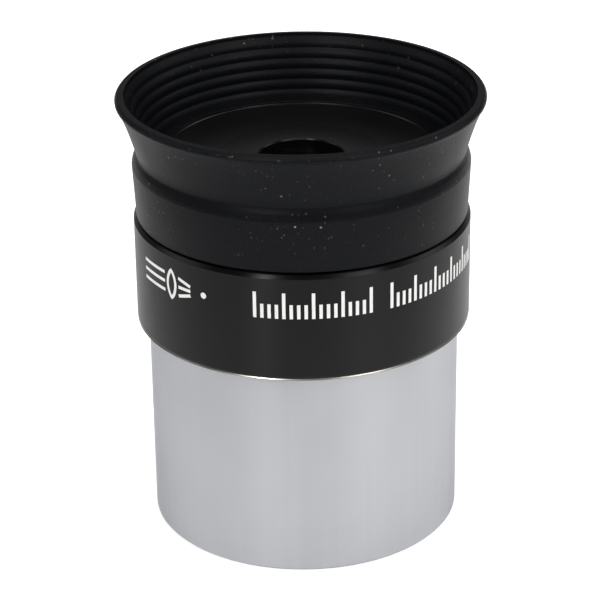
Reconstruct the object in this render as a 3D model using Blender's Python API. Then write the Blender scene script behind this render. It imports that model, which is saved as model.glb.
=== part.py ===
"""Telescope eyepiece: a chromed push-fit barrel screwed into a black head that holds two lens
doublets, with a fold-down rubber eyecup. Metres, +Z up along the optical axis towards the eye,
origin at the middle of the barrel's lower end."""

import math

import bmesh
import bpy

MM = 0.001

# Driving dimensions. A height is measured from the barrel's lower end unless its name says otherwise.
GAP = 0.3 * MM  # kept between pieces that touch on the real eyepiece

BARREL_RADIUS = 31.75 / 2 * MM
BARREL_EXPOSED = 22.1 * MM
BARREL_BORE_RADIUS = 13.6 * MM
BARREL_EDGE = 0.25 * MM
FILTER_THREAD_RADIUS = 28.5 / 2 * MM
FILTER_THREAD_DEPTH = 5.0 * MM

HEAD_THREAD_RADIUS = 15.0 * MM
HEAD_THREAD_LENGTH = 4.2 * MM
HEAD_RADIUS = 17.05 * MM
HEAD_TOP = 33.15 * MM
HEAD_LOWER_CHAMFER = 0.25 * MM
HEAD_RECESS_DEPTH = 0.3 * MM  # the barrel's shoulder sits in a shallow recess under the head
HEAD_UPPER_CHAMFER = 0.45 * MM
NECK_RADIUS = 15.2 * MM
NECK_TOP = 38.9 * MM
DISH_RADIUS = 13.75 * MM
DISH_TOP = 39.4 * MM
APERTURE_RADIUS = 4.3 * MM
APERTURE_TOP = 38.95 * MM
APERTURE_CHAMFER = 0.3 * MM
PLATE_UNDERSIDE = 37.3 * MM

CELL_RADIUS = 8.0 * MM
CELL_BOTTOM = 22.9 * MM
CELL_FLANGE_RADIUS = 12.3 * MM
CELL_FLANGE_HEIGHT = 1.6 * MM
LOCK_RING_HEIGHT = 1.6 * MM
THREAD_RELIEF = 0.7 * MM  # from the end of the head's thread to the bore of the lock ring

LENS_RADIUS = 5.3 * MM
CROWN_THICKNESS = 4.0 * MM
FLINT_THICKNESS = 1.2 * MM
CEMENTED_CURVE = 9.05 * MM  # surface radius of each crown and of the flint side glued to it
OUTER_CURVE = 56.5 * MM  # surface radius of each flint's outer side
AIR_SPACE = 0.5 * MM  # between the two crowns, on the axis
EYE_LENS_TOP = 36.5 * MM
CLEAR_RADIUS = 4.6 * MM
CELL_LIP = 0.4 * MM  # thickness of the cell's lip over the eye lens
RETAINER_HEIGHT = 1.5 * MM

FIELD_STOP_RADIUS = 4.35 * MM
FIELD_STOP_BOTTOM = 17.9 * MM
FIELD_STOP_RIM_HEIGHT = 1.6 * MM
FIELD_STOP_RIM_WIDTH = 1.5 * MM
FIELD_STOP_WEB = 0.6 * MM

CUP_SEAT_RADIUS = NECK_RADIUS + GAP
BAND_LOWER_RADIUS = 16.75 * MM
BAND_UPPER_RADIUS = 17.02 * MM
BAND_SHOULDER = 38.7 * MM
BAND_BEND = 1.3 * MM  # rounding of the shoulder, which leans in to the groove
GROOVE_RADIUS = 16.5 * MM
FOLD_LINE = 39.9 * MM
FLARE_FOOT_RADIUS = 15.25 * MM
FLARE_TOP = 44.7 * MM
FLARE_TOP_RADIUS = 18.33 * MM
FLARE_BULGE = 0.25 * MM  # how far the flare's outside lies inwards of a straight cone, at mid height
RIM_TOP = 45.83 * MM
RIM_RADIUS = 18.47 * MM
RIM_INNER_RADIUS = 17.35 * MM  # clears the band when the cup folds down around it

SPANNER_SLOT_WIDTH = 1.0 * MM
SPANNER_SLOT_DEPTH = 0.7 * MM
CUT_MARGIN = 1.0 * MM  # how far a cutter reaches past the piece

OUTER_SEGMENTS = 48
INNER_SEGMENTS = 32
CURVE_STEPS = 5
SHARP_ANGLE = math.radians(30)

# Heights that follow from the ones above.
BARREL_SHOULDER = BARREL_EXPOSED + HEAD_RECESS_DEPTH - GAP
HEAD_THREAD_TOP = BARREL_SHOULDER + HEAD_THREAD_LENGTH
HEAD_BORE_RADIUS = HEAD_THREAD_RADIUS + GAP
LOCK_BORE_BOTTOM = HEAD_THREAD_TOP + THREAD_RELIEF
LOCK_RING_BOTTOM = LOCK_BORE_BOTTOM + GAP
CELL_FLANGE_BOTTOM = LOCK_RING_BOTTOM + LOCK_RING_HEIGHT + GAP
CELL_SEAT = CELL_FLANGE_BOTTOM + CELL_FLANGE_HEIGHT + GAP
CELL_TOP = PLATE_UNDERSIDE - GAP
CELL_BORE_RADIUS = LENS_RADIUS + GAP
EYE_CROWN_TOP = EYE_LENS_TOP - FLINT_THICKNESS - GAP
FIELD_CROWN_TOP = EYE_CROWN_TOP - CROWN_THICKNESS - AIR_SPACE
FIELD_FLINT_TOP = FIELD_CROWN_TOP - CROWN_THICKNESS - GAP
FIELD_LENS_BOTTOM = FIELD_FLINT_TOP - FLINT_THICKNESS


def clear_scene():
    for thing in list(bpy.data.objects):
        bpy.data.objects.remove(thing)


def principled(name, colour, roughness, metallic, transmission=0.0):
    material = bpy.data.materials.new(name)
    material.use_nodes = True
    shader = material.node_tree.nodes["Principled BSDF"]
    shader.inputs["Base Color"].default_value = (*colour, 1.0)
    shader.inputs["Roughness"].default_value = roughness
    shader.inputs["Metallic"].default_value = metallic
    shader.inputs["Transmission Weight"].default_value = transmission
    material.diffuse_color = (*colour, 1.0)
    return material


def datum(name, height, parent=None):
    """An empty on the optical axis, which carries the pieces that move together."""
    empty = bpy.data.objects.new(name, None)
    empty.empty_display_size = RIM_RADIUS
    empty.parent = parent
    empty.location.z = height - (parent.matrix_world.translation.z if parent else 0.0)
    bpy.context.scene.collection.objects.link(empty)
    bpy.context.view_layer.update()
    return empty


def turned(name, outline, material, carrier, segments, closed=True):
    """A lathe-turned piece. The outline is (radius, height) points that run down the outside, in along
    the bottom and up the inside; an open outline starts and ends on the axis."""
    base = carrier.matrix_world.translation.z
    shape = bmesh.new()
    points = [shape.verts.new((radius, 0.0, height - base)) for radius, height in outline]
    edges = [shape.edges.new(pair) for pair in zip(points, points[1:])]
    if closed:
        edges.append(shape.edges.new((points[-1], points[0])))
    bmesh.ops.spin(
        shape, geom=points + edges, axis=(0, 0, 1), cent=(0, 0, 0), angle=math.tau, steps=segments
    )
    bmesh.ops.remove_doubles(shape, verts=shape.verts, dist=0.01 * MM)
    bmesh.ops.recalc_face_normals(shape, faces=shape.faces)
    mesh = bpy.data.meshes.new(name)
    shape.to_mesh(mesh)
    shape.free()
    mesh.materials.append(material)
    mesh.shade_smooth()
    mesh.set_sharp_from_angle(angle=SHARP_ANGLE)
    piece = bpy.data.objects.new(name, mesh)
    piece.parent = carrier
    bpy.context.scene.collection.objects.link(piece)
    return piece


def slot(piece, radius, bottom, depth):
    """Two spanner notches across a ring's lower face."""
    half = SPANNER_SLOT_WIDTH / 2
    reach = radius + CUT_MARGIN
    corners = [
        (x, y, z)
        for z in (bottom - CUT_MARGIN, bottom + depth)
        for x, y in ((-reach, -half), (reach, -half), (reach, half), (-reach, half))
    ]
    faces = [(3, 2, 1, 0), (4, 5, 6, 7), (0, 1, 5, 4), (1, 2, 6, 5), (2, 3, 7, 6), (3, 0, 4, 7)]
    mesh = bpy.data.meshes.new(piece.name + "_cutter")
    mesh.from_pydata(corners, [], faces)
    cutter = bpy.data.objects.new(piece.name + "_cutter", mesh)
    cutter.hide_render = True
    cutter.display_type = "WIRE"
    bpy.context.scene.collection.objects.link(cutter)
    cut = piece.modifiers.new("spanner slots", "BOOLEAN")
    cut.operation = "DIFFERENCE"
    cut.object = cutter


def arc(centre, radius, start, end, steps):
    """Points of an arc in the outline's plane, from one angle to another in degrees."""
    angles = [math.radians(start + (end - start) * i / steps) for i in range(steps + 1)]
    return [(centre[0] + radius * math.cos(a), centre[1] + radius * math.sin(a)) for a in angles]


def sag(curve, radius):
    """How far a spherical surface falls away from its vertex at a radius."""
    return curve - math.sqrt(curve**2 - radius**2)


def dome(vertex, curve, reach, rising=False):
    """Points of a spherical lens surface from the axis out to its edge; rising bends it upwards."""
    bend = 1 if rising else -1
    radii = [reach * i / CURVE_STEPS for i in range(CURVE_STEPS + 1)]
    return [(radius, vertex + bend * sag(curve, radius)) for radius in radii]


def make_barrel(material, carrier):
    outline = [
        (HEAD_THREAD_RADIUS, HEAD_THREAD_TOP),
        (HEAD_THREAD_RADIUS, BARREL_SHOULDER),
        (BARREL_RADIUS - BARREL_EDGE, BARREL_SHOULDER),
        (BARREL_RADIUS, BARREL_SHOULDER - BARREL_EDGE),
        (BARREL_RADIUS, BARREL_EDGE),
        (BARREL_RADIUS - BARREL_EDGE, 0.0),
        (FILTER_THREAD_RADIUS, 0.0),
        (FILTER_THREAD_RADIUS, FILTER_THREAD_DEPTH),
        (BARREL_BORE_RADIUS, FILTER_THREAD_DEPTH + FILTER_THREAD_RADIUS - BARREL_BORE_RADIUS),
        (BARREL_BORE_RADIUS, HEAD_THREAD_TOP),
    ]
    return turned("barrel", outline, material, carrier, OUTER_SEGMENTS)


def make_field_stop(material, carrier):
    rim = BARREL_BORE_RADIUS - GAP
    outline = [
        (rim, FIELD_STOP_BOTTOM + FIELD_STOP_RIM_HEIGHT),
        (rim, FIELD_STOP_BOTTOM),
        (rim - FIELD_STOP_RIM_WIDTH, FIELD_STOP_BOTTOM),
        (rim - FIELD_STOP_RIM_WIDTH, FIELD_STOP_BOTTOM + FIELD_STOP_RIM_HEIGHT - FIELD_STOP_WEB),
        (FIELD_STOP_RADIUS, FIELD_STOP_BOTTOM + FIELD_STOP_RIM_HEIGHT - FIELD_STOP_WEB),
        (FIELD_STOP_RADIUS, FIELD_STOP_BOTTOM + FIELD_STOP_RIM_HEIGHT),
    ]
    ring = turned("field_stop_ring", outline, material, carrier, INNER_SEGMENTS)
    slot(ring, rim, FIELD_STOP_BOTTOM, SPANNER_SLOT_DEPTH)
    return ring


def make_housing(material, carrier):
    outline = [
        (DISH_RADIUS, DISH_TOP),
        (DISH_RADIUS + GAP, NECK_TOP),
        (NECK_RADIUS, NECK_TOP),
        (NECK_RADIUS, HEAD_TOP),
        (HEAD_RADIUS - HEAD_UPPER_CHAMFER, HEAD_TOP),
        (HEAD_RADIUS, HEAD_TOP - HEAD_UPPER_CHAMFER),
        (HEAD_RADIUS, BARREL_EXPOSED + HEAD_LOWER_CHAMFER),
        (HEAD_RADIUS - HEAD_LOWER_CHAMFER, BARREL_EXPOSED),
        (BARREL_RADIUS + GAP, BARREL_EXPOSED),
        (BARREL_RADIUS + GAP, BARREL_EXPOSED + HEAD_RECESS_DEPTH),
        (HEAD_BORE_RADIUS, BARREL_EXPOSED + HEAD_RECESS_DEPTH),
        (HEAD_BORE_RADIUS, LOCK_BORE_BOTTOM),
        (CELL_FLANGE_RADIUS + GAP, LOCK_BORE_BOTTOM),
        (CELL_FLANGE_RADIUS + GAP, CELL_SEAT),
        (CELL_RADIUS + GAP, CELL_SEAT),
        (CELL_RADIUS + GAP, PLATE_UNDERSIDE),
        (APERTURE_RADIUS, PLATE_UNDERSIDE),
        (APERTURE_RADIUS, APERTURE_TOP - APERTURE_CHAMFER),
        (APERTURE_RADIUS + APERTURE_CHAMFER, APERTURE_TOP),
    ]
    return turned("housing", outline, material, carrier, OUTER_SEGMENTS)


def make_lens_cell(material, carrier):
    lip = CELL_TOP - CELL_LIP
    outline = [
        (CELL_RADIUS, CELL_TOP),
        (CELL_RADIUS, CELL_FLANGE_BOTTOM + CELL_FLANGE_HEIGHT),
        (CELL_FLANGE_RADIUS, CELL_FLANGE_BOTTOM + CELL_FLANGE_HEIGHT),
        (CELL_FLANGE_RADIUS, CELL_FLANGE_BOTTOM),
        (CELL_RADIUS, CELL_FLANGE_BOTTOM),
        (CELL_RADIUS, CELL_BOTTOM),
        (CELL_BORE_RADIUS, CELL_BOTTOM),
        (CELL_BORE_RADIUS, lip),
        (CLEAR_RADIUS, lip),
        (CLEAR_RADIUS, CELL_TOP),
    ]
    return turned("lens_cell", outline, material, carrier, INNER_SEGMENTS)


def make_plain_ring(name, outer, inner, bottom, height, material, carrier):
    outline = [(outer, bottom + height), (outer, bottom), (inner, bottom), (inner, bottom + height)]
    return turned(name, outline, material, carrier, INNER_SEGMENTS)


def make_crown(name, top, material, carrier):
    """A lens whose two sides bulge alike."""
    upper = dome(top, CEMENTED_CURVE, LENS_RADIUS)
    lower = dome(top - CROWN_THICKNESS, CEMENTED_CURVE, LENS_RADIUS, rising=True)
    return turned(name, upper + lower[::-1], material, carrier, INNER_SEGMENTS, closed=False)


def make_flint(name, top, material, carrier, facing_eye):
    """A lens that is hollow on the side glued to its crown and bulges slightly on the other."""
    bottom = top - FLINT_THICKNESS
    if facing_eye:
        upper = dome(top, OUTER_CURVE, LENS_RADIUS)
        lower = dome(bottom, CEMENTED_CURVE, LENS_RADIUS)
    else:
        upper = dome(top, CEMENTED_CURVE, LENS_RADIUS, rising=True)
        lower = dome(bottom, OUTER_CURVE, LENS_RADIUS, rising=True)
    return turned(name, upper + lower[::-1], material, carrier, INNER_SEGMENTS, closed=False)


def make_lens_stack(glass, metal, carrier):
    make_flint("eye_flint", EYE_LENS_TOP, glass, carrier, facing_eye=True)
    make_crown("eye_crown", EYE_CROWN_TOP, glass, carrier)
    make_crown("field_crown", FIELD_CROWN_TOP, glass, carrier)
    make_flint("field_flint", FIELD_FLINT_TOP, glass, carrier, facing_eye=False)
    seat = sag(CEMENTED_CURVE, CLEAR_RADIUS)
    bottom = FIELD_CROWN_TOP - seat + GAP
    height = EYE_CROWN_TOP - CROWN_THICKNESS + seat - GAP - bottom
    make_plain_ring("spacer_ring", LENS_RADIUS, CLEAR_RADIUS, bottom, height, metal, carrier)


def make_threaded_rings(material, carrier):
    ring = make_plain_ring(
        "cell_lock_ring",
        CELL_FLANGE_RADIUS,
        CELL_RADIUS + GAP,
        LOCK_RING_BOTTOM,
        LOCK_RING_HEIGHT,
        material,
        carrier,
    )
    slot(ring, CELL_FLANGE_RADIUS, LOCK_RING_BOTTOM, SPANNER_SLOT_DEPTH)
    edge = FIELD_LENS_BOTTOM + sag(OUTER_CURVE, CLEAR_RADIUS)
    bottom = edge - GAP - RETAINER_HEIGHT
    ring = make_plain_ring(
        "lens_retaining_ring",
        LENS_RADIUS,
        CLEAR_RADIUS,
        bottom,
        RETAINER_HEIGHT,
        material,
        carrier,
    )
    slot(ring, LENS_RADIUS, bottom, SPANNER_SLOT_DEPTH)


def flare_radius(height):
    """The flare's outside: a cone from the groove to the rim, hollowed like a trumpet."""
    share = (height - FOLD_LINE) / (FLARE_TOP - FOLD_LINE)
    cone = GROOVE_RADIUS + (FLARE_TOP_RADIUS - GROOVE_RADIUS) * share
    return cone - 4 * FLARE_BULGE * share * (1 - share)


def make_eyecup_band(material, carrier):
    bottom = HEAD_TOP + GAP
    top = FOLD_LINE - GAP / 2
    lean = math.degrees(math.asin((top - BAND_SHOULDER) / BAND_BEND))
    outline = [
        *arc((BAND_UPPER_RADIUS - BAND_BEND, BAND_SHOULDER), BAND_BEND, lean, 0, 3),
        (BAND_LOWER_RADIUS, bottom),
        (CUP_SEAT_RADIUS, bottom),
        (CUP_SEAT_RADIUS, top),
    ]
    return turned("eyecup_band", outline, material, carrier, OUTER_SEGMENTS)


def make_eyecup_flare(material, carrier):
    bottom = FOLD_LINE + GAP / 2
    heights = [FLARE_TOP + (bottom - FLARE_TOP) * i / CURVE_STEPS for i in range(CURVE_STEPS + 1)]
    outline = [(flare_radius(height), height) for height in heights]
    outline += [(FLARE_FOOT_RADIUS, bottom), (RIM_INNER_RADIUS - GAP, FLARE_TOP)]
    return turned("eyecup_flare", outline, material, carrier, OUTER_SEGMENTS)


def make_eyecup_lip(material, carrier):
    roundness = (RIM_RADIUS - RIM_INNER_RADIUS) / 2
    middle = (RIM_INNER_RADIUS + roundness, RIM_TOP - roundness)
    bottom = FLARE_TOP + GAP
    outline = [
        *arc(middle, roundness, 180, 0, 6),
        (RIM_RADIUS, bottom),
        (RIM_INNER_RADIUS, bottom),
    ]
    return turned("eyecup_lip", outline, material, carrier, OUTER_SEGMENTS)


def main():
    clear_scene()
    chrome = principled("chromed_brass", (0.55, 0.56, 0.58), 0.22, 1.0)
    anodised = principled("black_anodised_aluminium", (0.018, 0.018, 0.02), 0.3, 0.6)
    blackened = principled("blackened_aluminium", (0.01, 0.01, 0.01), 0.6, 0.3)
    glass = principled("coated_glass", (0.75, 0.85, 0.8), 0.02, 0.0, transmission=1.0)
    rubber = principled("black_rubber", (0.016, 0.016, 0.018), 0.6, 0.0)

    nosepiece = datum("nosepiece_datum", 0.0)
    stack = datum("lens_stack_datum", BARREL_EXPOSED, nosepiece)
    head = datum("head_datum", BARREL_EXPOSED, stack)
    fold = datum("fold_datum", FOLD_LINE, head)

    make_barrel(chrome, nosepiece)
    make_field_stop(blackened, nosepiece)
    make_lens_stack(glass, blackened, stack)
    make_housing(anodised, head)
    make_lens_cell(blackened, head)
    make_threaded_rings(blackened, head)
    make_eyecup_band(rubber, head)
    make_eyecup_flare(rubber, head)
    make_eyecup_lip(rubber, fold)


main()
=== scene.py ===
"""Finished surfaces of a short telescope eyepiece: a satin chrome barrel, a black anodised head with
white printed marks, cemented lens doublets in a blackened cell, and a ribbed rubber eyecup that folds.

Lengths are in metres. The pieces stand on the Z axis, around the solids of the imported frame."""

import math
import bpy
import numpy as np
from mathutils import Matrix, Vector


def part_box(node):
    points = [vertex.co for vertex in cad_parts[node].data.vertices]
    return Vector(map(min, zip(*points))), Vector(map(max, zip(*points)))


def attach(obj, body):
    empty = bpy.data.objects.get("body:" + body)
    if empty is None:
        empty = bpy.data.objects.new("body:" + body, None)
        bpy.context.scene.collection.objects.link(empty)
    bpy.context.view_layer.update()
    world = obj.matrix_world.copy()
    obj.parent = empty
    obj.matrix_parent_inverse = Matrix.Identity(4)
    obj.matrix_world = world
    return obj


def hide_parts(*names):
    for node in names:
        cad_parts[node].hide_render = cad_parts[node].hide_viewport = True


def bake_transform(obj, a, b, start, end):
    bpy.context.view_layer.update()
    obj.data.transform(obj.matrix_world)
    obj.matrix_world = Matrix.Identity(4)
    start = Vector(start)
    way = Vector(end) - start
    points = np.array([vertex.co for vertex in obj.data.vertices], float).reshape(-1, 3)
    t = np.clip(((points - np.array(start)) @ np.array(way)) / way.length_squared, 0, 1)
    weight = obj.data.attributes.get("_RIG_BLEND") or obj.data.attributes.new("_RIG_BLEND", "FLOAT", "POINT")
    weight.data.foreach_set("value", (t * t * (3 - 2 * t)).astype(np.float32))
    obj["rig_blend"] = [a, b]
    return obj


bl_info = {
    "name": "Telescope eyepiece",
    "version": (1, 0, 0),
    "blender": (4, 5, 0),
    "location": "View3D > Sidebar > Eyepiece",
    "description": "Builds the finished surfaces of a short telescope eyepiece",
    "category": "Object",
}

from typing import NamedTuple

import bmesh
import bpy
from mathutils import Matrix, Vector

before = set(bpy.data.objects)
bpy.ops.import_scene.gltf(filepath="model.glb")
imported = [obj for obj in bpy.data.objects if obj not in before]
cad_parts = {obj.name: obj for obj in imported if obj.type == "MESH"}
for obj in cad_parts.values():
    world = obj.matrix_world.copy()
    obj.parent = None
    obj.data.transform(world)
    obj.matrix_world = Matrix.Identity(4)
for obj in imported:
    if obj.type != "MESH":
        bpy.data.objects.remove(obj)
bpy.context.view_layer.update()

MM = 0.001
TURN = math.tau

# Roundings of turned edges, and the angle in degrees beyond which an edge is shaded sharp.
FINE_EDGE = 0.05 * MM
EASED_EDGE = 0.1 * MM
SHARP_METAL = 32
SHARP_RUBBER = 50

# Finishes on one turned piece: its main one, a second one of its own choice, and blackened metal.
MAIN, SECOND, THIRD = range(3)

# Points in one pitch of a thread's outline, and the short taper that leads into a thread.
THREAD_STEPS = 8
LEAD_IN = 0.3 * MM

# Spanner notches in the rings that screw in.
NOTCH_COUNT = 2
NOTCH_WIDTH = 1.0 * MM
NOTCH_DEPTH = 0.7 * MM

# How far the neck that the eyecup grips ends below the rim of the dish.
NECK_DROP = 0.5 * MM

# Lenses and the openings around them.
CELL_BODY = 8.0 * MM
LENS_OPENING = 4.6 * MM
STOP_OPENING = 4.35 * MM
CEMENTED_CURVE = 9.05 * MM
OUTER_CURVE = 56.5 * MM
FLINT_DEPTH = 1.35 * MM

# The point that the lights face.
AIM = Vector((0.0, 0.0, 30 * MM))

# Refractive indices, and the thickness in nanometres of the coating on each glass.
CROWN_INDEX, CROWN_FILM = 1.52, 100.0
FLINT_INDEX, FLINT_FILM = 1.62, 115.0
FILM_INDEX = 1.38


def radius_of(node):
    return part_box(node)[1].x


def base_of(node):
    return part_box(node)[0].z


def top_of(node):
    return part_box(node)[1].z


def linear(code):
    """A hex sRGB colour as linear red, green and blue."""
    parts = [int(code[i : i + 2], 16) / 255 for i in (1, 3, 5)]
    return tuple(v / 12.92 if v <= 0.04045 else ((v + 0.055) / 1.055) ** 2.4 for v in parts)


# ---------------------------------------------------------------------------------------------- settings


def length(name, description, default):
    return bpy.props.FloatProperty(
        name=name, description=description, default=default, unit="LENGTH", precision=5
    )


def colour(name, description, code):
    return bpy.props.FloatVectorProperty(
        name=name, description=description, default=linear(code), subtype="COLOR", min=0, max=1
    )


class EyepieceSizes(bpy.types.PropertyGroup):
    """Sizes that may be changed without leaving the frame's solids."""

    segments: bpy.props.IntProperty(
        name="Segments", description="Facets around each turned piece", default=192, min=48
    )
    barrel_edge: length("Barrel edge", "Chamfer at the barrel's mouth", 0.25 * MM)
    barrel_bore: length(
        "Barrel bore", "Radius of the blackened bore", radius_of("field_stop_ring") + 0.3 * MM
    )
    filter_pitch: length("Filter pitch", "Thread pitch of the filter thread", 0.6 * MM)
    filter_radius: length("Filter radius", "Crest radius of the filter thread", 13.95 * MM)
    filter_depth: length("Filter depth", "How deep the filter thread runs", 5.0 * MM)
    baffle_pitch: length("Baffle pitch", "Spacing of the grooves that stop glare", 0.6 * MM)
    head_pitch: length("Head pitch", "Pitch of the thread that joins barrel and head", 0.75 * MM)
    head_thread: length("Head thread", "Crest radius of the barrel's upper thread", 15.0 * MM)
    thread_depth: length("Thread depth", "Depth of the head thread", 0.4 * MM)
    head_top: length(
        "Head top", "Height of the head's upper shoulder", base_of("eyecup_band") - 0.3 * MM
    )
    head_chamfer: length("Head chamfer", "Chamfer around the head's upper edge", 0.33 * MM)
    bare_groove: length("Bare groove", "Depth of the V cut at the head's lower edge", 0.08 * MM)
    neck_radius: length("Neck radius", "Neck that the eyecup grips", 15.2 * MM)
    dish_radius: length("Dish radius", "Rim of the dish around the eye lens", 13.75 * MM)
    aperture: length("Aperture radius", "Hole over the eye lens", 4.3 * MM)
    band_foot: length("Band foot radius", "Eyecup band where it meets the head", 16.75 * MM)
    groove_radius: length("Groove radius", "Bottom of the eyecup's folding groove", 16.5 * MM)
    flare_cone: length("Flare cone", "How far the flare widens as a straight cone", 1.55 * MM)
    flare_trumpet: length("Flare trumpet", "How much more it opens near the lip", 0.26 * MM)
    lip_inner: length("Lip inner radius", "Mouth of the eyecup", 17.55 * MM)
    rib_pitch: length("Rib pitch", "Spacing of the ribs inside the eyecup", 1.03 * MM)
    rib_depth: length("Rib depth", "Depth of the grooves between the ribs", 0.13 * MM)
    mark_height: length("Mark height", "Height of the printed marks", 2.7 * MM)
    mark_stroke: length("Mark stroke", "Width of a printed line", 0.42 * MM)


class EyepieceColours(bpy.types.PropertyGroup):
    """Colours of the finishes."""

    chrome: colour("Chrome", "Satin chrome on the barrel", "#B0B1B4")
    chrome_edge: colour("Chrome edge", "What chrome reflects at a glancing angle", "#E0E1E4")
    anodise: colour("Anodise", "Dyed oxide on the head", "#080808")
    bare: colour("Bare aluminium", "Bright cut edge of the head", "#B8B4AB")
    blackened: colour("Blackened metal", "Dull black inside the barrel and cell", "#090909")
    rubber: colour("Rubber", "Moulded eyecup", "#0F1013")
    dust: colour("Dust", "Specks of dust that have settled", "#B9B7B0")
    print: colour("Print", "White printed marks", "#E9E9E7")
    glass: colour("Glass", "Lens glass", "#F4FBF6")
    table: colour("Table", "Studio table", "#F4F4F4")


# ------------------------------------------------------------------------------------------- turned shapes


class Corner(NamedTuple):
    """A corner of a turned outline: its place, its rounding, the groove zone that it lies in with a
    weight, and the finish of the face that follows it."""

    radius: float
    height: float
    rounding: float = 0.0
    zone: str = ""
    weight: float = 0.0
    finish: int = MAIN


def wall(start, end, step, zone, fade, finish=MAIN):
    """Closely spaced corners along a straight wall, for the grooves of a zone, which fade at its ends."""
    along = math.dist(start, end)
    count = max(2, round(along / step))
    corners = []
    for i in range(count + 1):
        share = i / count
        near_end = min(share, 1 - share) * along
        spot = [a + (b - a) * share for a, b in zip(start, end)]
        corners.append(Corner(*spot, 0.0, zone, min(1.0, near_end / fade), finish))
    return corners


def rounded(corners, closed, steps=5):
    """The outline with an arc in place of each corner that has a rounding."""
    result = []
    for i, corner in enumerate(corners):
        inside = closed or 0 < i < len(corners) - 1
        if not corner.rounding or not inside:
            result.append(corner)
            continue
        here = Vector((corner.radius, corner.height))
        before = corners[i - 1]
        after = corners[(i + 1) % len(corners)]
        back = (Vector((before.radius, before.height)) - here).normalized()
        ahead = (Vector((after.radius, after.height)) - here).normalized()
        half = back.angle(ahead) / 2
        reach = corner.rounding / math.tan(half)
        centre = here + (back + ahead).normalized() * (corner.rounding / math.sin(half))
        first = here + back * reach - centre
        sweep = first.angle_signed(here + ahead * reach - centre)
        for k in range(steps + 1):
            point = centre + Matrix.Rotation(-sweep * k / steps, 2) @ first
            result.append(corner._replace(radius=point.x, height=point.y, rounding=0.0))
    return result


def lathe(name, corners, segments, closed):
    """A mesh of the outline turned about Z, with its groove zones and finishes as attributes."""
    mesh = bpy.data.meshes.new(name)
    rings = len(corners)
    angles = [TURN * k / segments for k in range(segments)]
    points = [
        (corner.radius * math.cos(a), corner.radius * math.sin(a), corner.height)
        for corner in corners
        for a in angles
    ]
    faces, finishes = [], []
    for i in range(rings if closed else rings - 1):
        j = (i + 1) % rings
        for k in range(segments):
            m = (k + 1) % segments
            faces.append((i * segments + k, i * segments + m, j * segments + m, j * segments + k))
            finishes.append(corners[i].finish)
    mesh.from_pydata(points, [], faces)
    mesh.attributes.new("finish", "INT", "FACE").data.foreach_set("value", finishes)
    for zone in sorted({corner.zone for corner in corners} - {""}):
        ring_weights = [corner.weight if corner.zone == zone else 0.0 for corner in corners]
        weights = [weight for weight in ring_weights for _ in angles]
        mesh.attributes.new(zone, "FLOAT", "POINT").data.foreach_set("value", weights)
    shape = bmesh.new()
    shape.from_mesh(mesh)
    bmesh.ops.remove_doubles(shape, verts=shape.verts, dist=0.0001 * MM)
    bmesh.ops.recalc_face_normals(shape, faces=shape.faces)
    shape.to_mesh(mesh)
    shape.free()
    piece = bpy.data.objects.new(name, mesh)
    bpy.context.scene.collection.objects.link(piece)
    return piece


def settle(piece, sharp=SHARP_METAL):
    """Turns what the modifiers make into the piece's own mesh, smooth across gentle edges only."""
    graph = bpy.context.evaluated_depsgraph_get()
    mesh = bpy.data.meshes.new_from_object(piece.evaluated_get(graph))
    piece.modifiers.clear()
    piece.data = mesh
    mesh.name = piece.name
    for attribute in [a for a in mesh.attributes if a.data_type == "FLOAT" and a.domain == "POINT"]:
        mesh.attributes.remove(attribute)
    mesh.shade_smooth()
    mesh.set_sharp_from_angle(angle=math.radians(sharp))
    return piece


def notched(piece, radius, bottom, width=NOTCH_WIDTH):
    """Spanner notches across a ring's lower face."""
    cutter_shape = bmesh.new()
    for i in range(NOTCH_COUNT):
        turn = Matrix.Rotation(TURN * i / NOTCH_COUNT, 4, "Z")
        shift = Matrix.Translation((radius, 0, bottom))
        size = Matrix.Diagonal((radius, width, NOTCH_DEPTH * 2, 1))
        bmesh.ops.create_cube(cutter_shape, size=1.0, matrix=turn @ shift @ size)
    mesh = bpy.data.meshes.new("notches")
    cutter_shape.to_mesh(mesh)
    cutter_shape.free()
    cutter = bpy.data.objects.new("notches", mesh)
    bpy.context.scene.collection.objects.link(cutter)
    cut = piece.modifiers.new("notches", "BOOLEAN")
    cut.operation = "DIFFERENCE"
    cut.object = cutter
    settle(piece)
    bpy.data.objects.remove(cutter)
    return piece


# ------------------------------------------------------------------------------------------------- nodes


def add(tree, kind, links=None, **settings):
    """Adds a node with its settings and links. A link goes to an input, by name or number, and comes
    from a plain value, a socket, or a node whose first output is meant."""
    node = tree.nodes.new(kind)
    for setting, value in settings.items():
        setattr(node, setting, value)
    for key, value in (links or {}).items():
        named = (s for s in node.inputs if s.enabled and s.name == key)
        socket = node.inputs[key] if isinstance(key, int) else next(named)
        if isinstance(value, bpy.types.Node):
            value = next(s for s in value.outputs if s.enabled)
        if isinstance(value, bpy.types.NodeSocket):
            tree.links.new(value, socket)
        else:
            socket.default_value = value
    return node


def geometry_tree(name, inputs):
    """A geometry tree with named inputs and one output, and the sockets that give the inputs."""
    tree = bpy.data.node_groups.new(name, "GeometryNodeTree")
    tree.interface.new_socket(name="Geometry", in_out="OUTPUT", socket_type="NodeSocketGeometry")
    for label, kind in inputs.items():
        tree.interface.new_socket(name=label, in_out="INPUT", socket_type="NodeSocket" + kind)
    return tree, add(tree, "NodeGroupInput").outputs


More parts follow.
